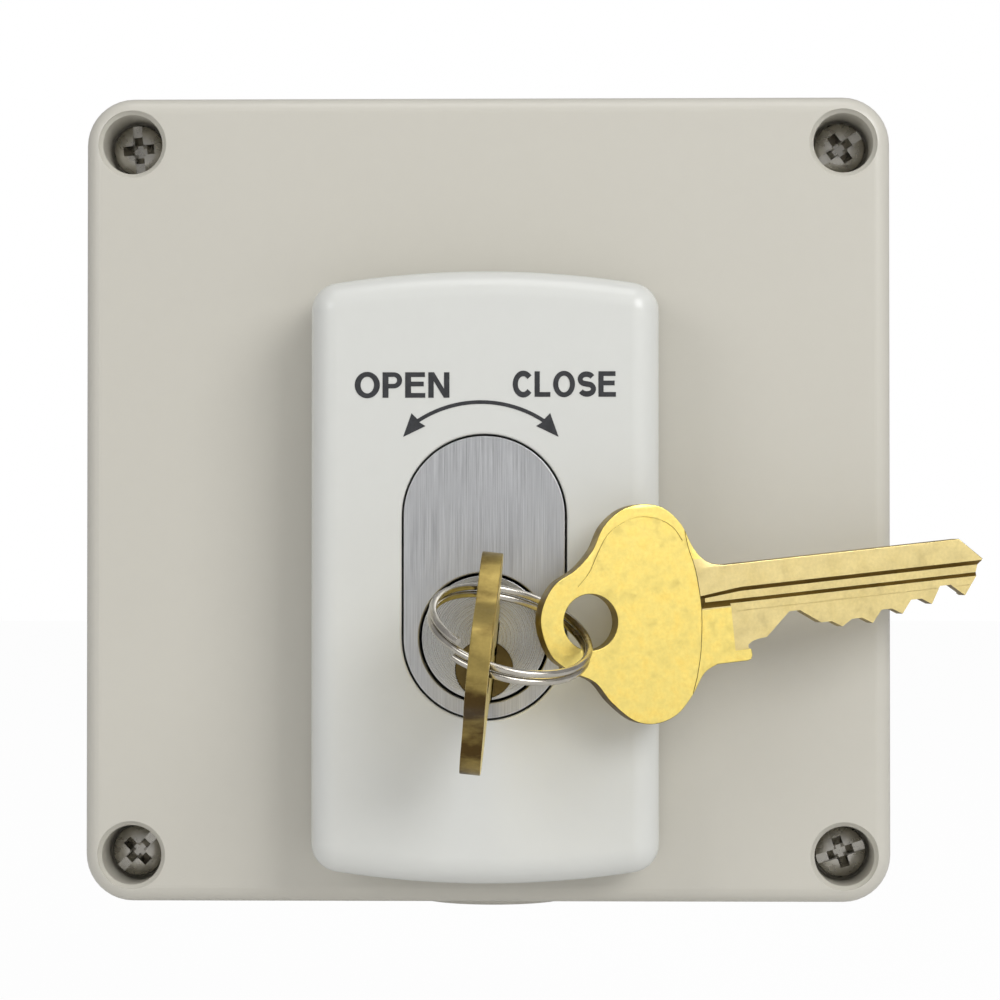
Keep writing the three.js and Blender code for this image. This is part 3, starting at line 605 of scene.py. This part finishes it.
def lid_screw(node, x, z, turn):
    """Domed head with a cross and a slot in it."""
    top, end, dome = SCREW_SEAT - 2.4, SCREW_SEAT + 18, 0.95
    profile = [(0, end), (SCREW_SHANK - 0.6, end), (SCREW_SHANK, end - 1), (SCREW_SHANK, SCREW_SEAT)]
    profile += [(SCREW_HEAD, SCREW_SEAT), (SCREW_HEAD, top + dome)]
    for k in range(1, 7):
        angle = math.radians(10 + 80 * k / 6)
        profile.append((SCREW_HEAD * math.cos(angle) ** 0.6, top + dome - dome * math.sin(angle)))
    profile.append((0, top))
    screw = turned("screw", profile, (0, 0))
    tools = [block(-4, 4, top + 0.65, top - 1, -0.6, 0.6)]
    arm = ((2.2, 0.66), (0.8, 0.34))
    middle = ((1.1, 1.1), (0.4, 0.4))
    for (mouth, floor), flip in ((arm, 0), (arm, 90), (middle, 45)):
        tool = loft("tool", [oblong(*mouth, top - 0.3), oblong(*floor, top + 2.3)])
        tool.data.transform(Matrix.Rotation(math.radians(flip), 4, "Y"))
        tools.append(tool)
    screw = cut(screw, *tools)
    screw.data.transform(Matrix.Rotation(math.radians(turn), 4, "Y"))
    screw.data.transform(Matrix.Translation(Vector((x, 0, z)) * MM))
    screw.name = node + "_head"
    settle(screw, "housing", LOOKS["screw_steel"], [node], 25)


def lid_screws():
    names = ("top_left", "top_right", "bottom_left", "bottom_right")
    for name, (x, z), turn in zip(names, screw_places(), SCREW_TURNS):
        lid_screw("lid_screw_" + name, x, z, turn)


def entry_plug():
    """Blanking plug in the cable entry, with a raised round middle."""
    low = -BOX_SIDE / 2
    profile = [(0, low - 2.8)]
    profile += [(9.5 + 0.9 * math.sin(a), low - 1.9 - 0.9 * math.cos(a)) for a in (0, 0.4, 0.8, 1.2, 1.57)]
    profile += [(10.8, low - 1.65), (14.2, low - 1.6)]
    profile += [(14.2 + 0.8 * math.sin(a), low - 0.8 - 0.8 * math.cos(a)) for a in (0.3, 0.7, 1.1, 1.57)]
    neck = ENTRY_RADIUS - 0.3
    profile += [(15, low), (neck, low), (neck, low + 8), (9.8, low + 8), (9.8, low), (0, low)]
    plug = turned("entry_blanking_plug", profile, (0, ENTRY_Y), "z", 96)
    settle(plug, "housing", LOOKS["box_plastic"], ["conduit_plug"])


# ---------------------------------------------------------------- cover, print and face plate
def cover_outline(inset):
    corner = max(COVER_CORNER - inset, 0.25)
    points = barrel(COVER_SIZE[0] - 2 * inset, COVER_SIZE[1] - 2 * inset, COVER_CROWN, corner)
    return moved(points, 0, COVER_Z)


def opening_tool():
    """The pill-shaped opening, with a slightly rounded front edge."""
    width, height = PLATE_SIZE
    edge = 0.3

    def loop(grow, y):
        points = pill(width + 0.5 + 2 * grow, height + 0.5 + 2 * grow)
        return [(x, y, z) for x, z in moved(points, 0, COVER_Z)]

    loops = [loop(0, -60), loop(0, COVER_FRONT + edge)]
    for k in range(1, 5):
        angle = math.pi / 2 * k / 4
        grow = edge * (1 - math.cos(angle))
        loops.append(loop(grow, COVER_FRONT + edge * (1 - math.sin(angle))))
    loops.append(loop(edge, COVER_FRONT - 1))
    return loft("tool", loops)


def cover():
    shell = prism("cover_shell", cover_outline, COVER_BACK, COVER_FRONT, 0.2, 3.5, 9)
    ceiling = COVER_FRONT + COVER_WALL
    inside = prism("tool", lambda inset: cover_outline(COVER_WALL), COVER_BACK + 1, ceiling)
    bosses = [rod((0, z), 3.2, COVER_BACK, COVER_FRONT + 1) for z in COVER_SCREW_Z]
    pilots = [rod((0, z), 1.6, COVER_BACK + 1, -65.5) for z in COVER_SCREW_Z]
    shell = cut(join(cut(shell, inside), *bosses), opening_tool(), *pilots)
    settle(shell, "housing", LOOKS["cover_plastic"], ["switch_cover"])


def stroke(points, width):
    """The outline of a line of constant width through the points."""
    left, right = [], []
    for i, (x, z) in enumerate(points):
        x0, z0 = points[max(i - 1, 0)]
        x1, z1 = points[min(i + 1, len(points) - 1)]
        length = math.hypot(x1 - x0, z1 - z0)
        nx, nz = (z0 - z1) / length * width / 2, (x1 - x0) / length * width / 2
        left.append((x + nx, z + nz))
        right.append((x - nx, z - nz))
    return left + right[::-1]


def oval(cx, cz, rx, rz, start, end, steps):
    return [(cx + rx * a, cz + rz * b) for a, b in arc(0, 0, 1, start, end, steps)]


def letter(kind):
    """(outlines, width) of a bold capital, with its lower left corner at the origin."""
    tall, stem, bar = LETTER_HEIGHT, 0.7, 0.58
    half = tall / 2
    if kind == "O":
        outer = oval(1.49, half, 1.49, half + 0.06, 0, 360, 40)[:-1]
        inner = oval(1.49, half, 0.79, half - 0.54, 0, 360, 40)[:-1]
        return [outer, inner], 2.98
    if kind == "C":
        line = oval(1.44, half, 1.09, half - 0.26, 40, 320, 36)
        return [stroke(line, 0.7)], 2.66
    if kind == "L":
        return [[(0, 0), (2.15, 0), (2.15, bar), (stem, bar), (stem, tall), (0, tall)]], 2.2
    if kind == "E":
        middle = 1.4
        outline = [(0, 0), (2.38, 0), (2.38, bar), (stem, bar), (stem, middle), (2.2, middle)]
        outline += [(2.2, middle + bar), (stem, middle + bar), (stem, tall - bar), (2.33, tall - bar)]
        return [outline + [(2.33, tall), (0, tall)]], 2.42
    if kind == "N":
        outline = [(0, 0), (0.64, 0), (0.64, 2.05), (1.83, 0), (2.5, 0), (2.5, tall)]
        return [outline + [(1.86, tall), (1.86, 1.1), (0.68, tall), (0, tall)]], 2.5
    if kind == "P":
        bowl = arc(1.33, tall - 0.99, 0.99, 90, -90, 18)
        hole = arc(1.3, tall - 0.99, 0.43, 90, -90, 14)
        outer = [(0, 0), (0, tall)] + bowl + [(stem, tall - 1.98), (stem, 0)]
        return [outer, [(stem, tall - 0.56)] + hole + [(stem, tall - 1.42)]], 2.36
    upper = oval(1.25, tall - 0.96, 0.86, 0.61, 25, 238, 22)
    lower = oval(1.3, 0.96, 0.9, 0.62, 58, -155, 22)
    return [stroke(upper + lower, 0.68)], 2.55


def word(name, text, centre_x, base_z, width):
    gap = 0.32
    letters = [letter(kind) for kind in text]
    total = sum(size for _, size in letters) + gap * (len(text) - 1)
    scale = width / total
    left = centre_x - width / 2
    outlines = []
    for shapes, size in letters:
        for shape in shapes:
            outlines.append([(left + x * scale, base_z + z) for x, z in shape])
        left += (size + gap) * scale
    printed(name, outlines)


def printed(name, outlines):
    """Ink on the cover's front: the outlines as a thin film."""
    film = solid_from_curve(name, outlines, PRINT_THICK, 0)
    film.data.transform(Matrix.Rotation(math.pi / 2, 4, "X"))
    film.data.transform(Matrix.Translation((0, (COVER_FRONT - 0.022) * MM, 0)))
    settle(film, "housing", PRINT)


def turn_arrow():
    """A thin arc over the lock with an arrowhead at each end."""
    middle, centre, radius, thin, reach = -0.42, -2.4, 14.1, 0.46, 33
    outer = arc(middle, centre, radius + thin / 2, 90 - reach, 90 + reach, 40)
    inner = arc(middle, centre, radius - thin / 2, 90 + reach, 90 - reach, 40)
    head = [(8.52, 10.34), (9.55, 7.42), (6.8, 8.75)]
    left = [(middle - x, z) for x, z in head]
    right = [(middle + x, z) for x, z in head[::-1]]
    printed("turn_arrow_print", [outer + left + inner + right])


def face_plate():
    def outline(inset):
        return moved(pill(PLATE_SIZE[0] - 2 * inset, PLATE_SIZE[1] - 2 * inset, 48), 0, COVER_Z)

    plate = prism("steel_face_plate", outline, -67, COVER_FRONT, 0, 0.12, 2)
    mouth = [(BORE_RADIUS, -60), (BORE_RADIUS, COVER_FRONT + 0.12), (BORE_RADIUS + 0.12, COVER_FRONT)]
    mouth.append((BORE_RADIUS + 0.2, COVER_FRONT - 1))
    plate = cut(plate, turned("tool", mouth, (0, LOCK_Z), segments=96))
    settle(plate, "housing", LOOKS["brushed_face"], ["face_plate"])


# ---------------------------------------------------------------- lock plug
def turn_with_plug(piece):
    """Turns a piece drawn about the plug's axis into its place."""
    piece.data.transform(Matrix.Rotation(PLUG_TURN, 4, "Y"))
    piece.data.transform(Matrix.Translation((0, 0, LOCK_Z * MM)))
    return piece


def plug_face():
    back = PLUG_FRONT + 1.55
    profile = [(0, back), (PLUG_RADIUS, back), (PLUG_RADIUS, PLUG_FRONT + 0.2)]
    profile += [(PLUG_RADIUS - 0.06, PLUG_FRONT + 0.05), (PLUG_RADIUS - 0.2, PLUG_FRONT), (0, PLUG_FRONT)]
    disc = turned("plug_steel_face", profile, (0, 0), segments=96)
    nose = rod((NOSE_X, NOSE_DROP), NOSE_RADIUS, -60, -72)
    slot = block(KEY_X - KEYWAY_HALF, KEY_X + KEYWAY_HALF, -60, -72, -12, 2.1)
    disc = cut(disc, nose, slot)
    settle(turn_with_plug(disc), "plug", PLUG_STEEL, ["plug_face"])


# ---------------------------------------------------------------- keys and ring
def spline(points, steps):
    """A smooth curve through the points."""
    result = []
    for i in range(len(points) - 1):
        p0 = Vector(points[max(i - 1, 0)])
        p1, p2 = Vector(points[i]), Vector(points[i + 1])
        p3 = Vector(points[min(i + 2, len(points) - 1)])
        for k in range(steps):
            t = k / steps
            a = 2 * p1 + (p2 - p0) * t
            b = (2 * p0 - 5 * p1 + 4 * p2 - p3) * t * t
            c = (3 * p1 - p0 - 3 * p2 + p3) * t * t * t
            result.append(tuple((a + b + c) / 2))
    return result + [tuple(points[-1])]


def key_outline():
    """u runs from the bow to the tip with 0 at the shoulder, and v towards the spine."""
    bow = [
        (-0.6, 5.15), (-2.6, 5.7), (-4.2, 7.5), (-5.5, 10.6), (-7.6, 12.8), (-10.3, 13.5), (-13, 13),
        (-15.4, 11.2), (-17, 8.6), (-19.3, 6.5), (-22.2, 4.9), (-24, 2.2), (-24.3, -0.5), (-23.3, -3.7),
        (-21, -5.7), (-18.3, -7.3), (-16.5, -9.9), (-13.9, -12.4), (-11.2, -13.1), (-8.4, -12.3),
        (-6.2, -10.2), (-4.4, -7.7), (-2.6, -6.8),
    ]
    points = spline(bow, 5)
    points += [(1.3, -6.8), (1.75, -6.65), (1.95, -6.2), (1.9, -5.5), (1.6, -5.2), (1.65, -4.85)]
    points += [(2.2, -4.5), (3, -4.3), (4.1, -4.2)]
    for i, v in enumerate(CUT_DEPTHS):
        u = CUT_START + CUT_PITCH * i
        points += [(u - 0.7, v), (u + 0.7, v)]
        if 0 < i < len(CUT_DEPTHS) - 1:
            points.append((u + CUT_PITCH / 2, max(min(v, CUT_DEPTHS[i + 1]) - 0.8, -4.15)))
    return points + [(30.5, -1.9), (32.2, 0.3), (32.7, 1.7), (33.2, 2.4), (30.3, KEY_SPINE)]


def layer(corners, low, high):
    """A tool with upright walls over the corners, between two heights above the key's middle."""
    return loft("tool", [[(u, v, low) for u, v in corners], [(u, v, high) for u, v in corners]])


def groove_tool(face):
    """The milled groove along the blade, with slanted walls and a flat floor."""
    depth, above = 0.75, 0.4
    floor = [(-3.2, 0.8), (-3.2, 1.3), (1.5, 1.72), (40, 1.72), (40, 0.78)]
    rim = [(-4, 0.1), (-4, 1.65), (1.5, 2.25), (40, 2.25), (40, 0.03)]
    past = [(a + (a - c) * above, b + (b - d) * above) for (a, b), (c, d) in zip(rim, floor)]
    low, high = face - depth, face + depth * above
    return loft("tool", [[(u, v, low) for u, v in floor], [(u, v, high) for u, v in past]])


def key(name, node, body, matrix):
    """A key with a crease between bow and blade, a border line on the bow and milled grooves."""
    hole = arc(KEY_HOLE_U, 0, KEY_HOLE_RADIUS, 0, 360, 40)[:-1]
    plate = solid_from_curve(name, [key_outline(), hole], KEY_THICK, 0.12)
    face = KEY_THICK / 2
    scratch = face - 0.17
    crease = [(-5.3, 12), (-5, 8.1), (-4.3, 5), (-4, 1.2), (-4.1, -1.3), (-4.6, -4.9), (-5.4, -8)]
    crease = spline(crease + [(-6.3, -10.5), (-7, -14)], 3)
    border = [(-19.3, 4.4), (-17.7, 6), (-16.4, 8.2), (-15, 10.2), (-13.2, 11.4), (-10.8, 12)]
    border = spline(border + [(-8.4, 11.5), (-6.6, 10.3), (-5.6, 8.6)], 4)
    lower = [(-0.2, -5.4), (2.4, -5.4), (2.4, -9), (40, -9), (40, 0.36), (-0.2, 0.36)]
    line = [(0.5, -0.72), (40, -0.72), (40, -0.6), (0.5, -0.6)]
    back_groove = [(-3.4, -1.6), (40, -1.6), (40, -0.5), (-3.4, -0.5)]
    tools = [layer(stroke(crease, 0.1), scratch, 2), layer(stroke(border, 0.1), scratch, 2)]
    tools += [layer(lower, face - 0.3, 2), layer(line, face - 0.42, 2)]
    tools += [groove_tool(face), layer(back_groove, -2, -face + 0.55)]
    plate = cut(plate, *tools)
    settle(plate, body, LOOKS["key_brass"], [node], 24)
    paint_key(plate)
    plate.data.transform(matrix)
    return plate


def paint_key(plate):
    """Bright bow, edges in a darker brass with painted shade, a finely milled blade and painted shade on
    the groove walls.
    """
    for look in (EDGE_BRASS_SHADE, MILLED_BRASS, GROOVE_WALL_SHADE):
        plate.data.materials.append(look)
    for polygon in plate.data.polygons:
        u, v, height = polygon.center / MM
        on_blade = u > -4 and height > 0
        level = abs(polygon.normal.z) > 0.9
        neck = height > KEY_THICK / 2 - 0.1 and v < 0
        if on_blade and level and not neck:
            polygon.material_index = 2
        # Walls of the grooves on the blade get the painted shade.
        elif on_blade and -0.7 < v < 2.3 and abs(polygon.normal.y) > 0.3:
            polygon.material_index = 3
        # Edge faces get the darker brass with painted shade.
        elif not level:
            polygon.material_index = 1


def key_matrix(shoulder, along, spine):
    side = along.cross(spine).normalized()
    up = side.cross(along).normalized()
    turn = Matrix((along.normalized(), up, side)).transposed().to_4x4()
    return Matrix.Translation(shoulder * MM) @ turn


def keys():
    turn = Matrix.Rotation(PLUG_TURN, 3, "Y")
    shoulder = turn @ Vector((KEY_X, KEY_SHOULDER_Y, KEY_AXIS_DROP)) + Vector((0, 0, LOCK_Z))
    placed = key_matrix(shoulder, turn @ Vector((0, 1, 0)), turn @ Vector((0, 0, -1)))
    key("key_in_lock", "key", "key", placed)

    level = Vector((math.cos(SPARE_LEAN), math.sin(SPARE_LEAN), 0))
    along = level * math.cos(SPARE_CLIMB) + Vector((0, 0, math.sin(SPARE_CLIMB)))
    facing = Vector((math.sin(SPARE_LEAN), -math.cos(SPARE_LEAN), 0))
    shoulder = Vector(SPARE_HOLE) - KEY_HOLE_U * along
    key("key_on_ring", "spare_key", "spare_key", key_matrix(shoulder, along, facing.cross(along)))


def split_ring():
    """Two turns of wire that climb along the ring's axis."""
    centre = Vector(RING_PLACE)
    normal = Vector(RING_NORMAL).normalized()
    across = Vector((normal.z, 0, -normal.x)).normalized()
    into = normal.cross(across)
    steps = 360
    points = []
    for i in range(steps + 1):
        t = i / steps
        angle = math.radians(RING_START) + 4 * math.pi * t
        around = across * math.cos(angle) + into * math.sin(angle)
        points.append(centre + RING_RADIUS * around + normal * (RING_PITCH * (2 * t - 1)))
    ring = tube("split_ring_wire", points, RING_WIRE, 16)
    settle(ring, "ring", LOOKS["ring_nickel"], ["key_ring"], 50)


# ---------------------------------------------------------------- floor, light and camera
def pale_floor():
    """Nearly white to the camera however little light reaches it, with faint shadows."""
    look = Nodes("pale floor", (0.9, 0.9, 0.9), 0.7)
    grain = look.noise(40, 2)
    look.paint("Base Color", look.ramp(grain, 0.3, 0.7, (0.88, 0.88, 0.88), (0.92, 0.92, 0.92)))
    path = look.tree.nodes.new("ShaderNodeLightPath")
    glow = look.tree.nodes.new("ShaderNodeEmission")
    share = look.tree.nodes.new("ShaderNodeMath")
    share.operation = "MULTIPLY"
    share.inputs[1].default_value = 0.97
    both = look.tree.nodes.new("ShaderNodeMixShader")
    look.link(path.outputs["Is Camera Ray"], share.inputs[0])
    look.link(share.outputs[0], both.inputs["Fac"])
    look.link(look.shader.outputs[0], both.inputs[1])
    look.link(glow.outputs[0], both.inputs[2])
    look.link(both.outputs[0], look.tree.nodes["Material Output"].inputs["Surface"])
    return look.material


def studio():
    far = 3000
    corners = [(sx * far, sy * far, FLOOR_LEVEL) for sx, sy in ((-1, -1), (1, -1), (1, 1), (-1, 1))]
    floor = mesh_object("studio_floor", corners, [(0, 1, 2, 3)])
    floor.data.materials.append(pale_floor())

    world = bpy.data.worlds.new("studio")
    world.use_nodes = True
    tree = world.node_tree
    background = tree.nodes["Background"]
    path = tree.nodes.new("ShaderNodeLightPath")
    mix = tree.nodes.new("ShaderNodeMix")
    mix.data_type = "RGBA"
    mix.inputs[6].default_value = (0.36, 0.36, 0.37, 1)
    mix.inputs[7].default_value = (1, 1, 1, 1)
    tree.links.new(path.outputs["Is Camera Ray"], mix.inputs["Factor"])
    tree.links.new(mix.outputs[2], background.inputs["Color"])
    bpy.context.scene.world = world

    lamp("right_light", (520, -720, 430), (0, -60, 0), 520, 4.7)
    lamp("left_light", (-720, -900, 420), (0, -60, 0), 560, 2.6)
    lamp("top_light", (60, -300, 900), (0, -60, 0), 500, 1.6)


def lamp(name, place, target, size, power):
    data = bpy.data.lights.new(name, "AREA")
    data.shape = "SQUARE"
    data.size = size * MM
    data.energy = power
    light = bpy.data.objects.new(name, data)
    light.location = Vector(place) * MM
    light.rotation_euler = (Vector(target) - Vector(place)).to_track_quat("-Z", "Y").to_euler()
    bpy.context.scene.collection.objects.link(light)


def camera():
    data = bpy.data.cameras.new("camera")
    data.lens = CAMERA_LENS
    data.sensor_width = 36
    data.clip_start = 0.01
    place = Vector(CAMERA_PLACE)
    target = Vector(CAMERA_TARGET)
    view = bpy.data.objects.new("camera", data)
    view.location = place * MM
    view.rotation_euler = (target - place).to_track_quat("-Z", "Y").to_euler()
    bpy.context.scene.collection.objects.link(view)
    bpy.context.scene.camera = view


paint_cad_nodes()
base()
lid()
lid_screws()
entry_plug()
cover()
word("open_print", "OPEN", -10.1, 12.24, 11.65)
word("close_print", "CLOSE", 9.85, 12.34, 12.7)
turn_arrow()
face_plate()
plug_face()
keys()
split_ring()
studio()
camera()
bpy.context.scene.view_settings.view_transform = "Standard"
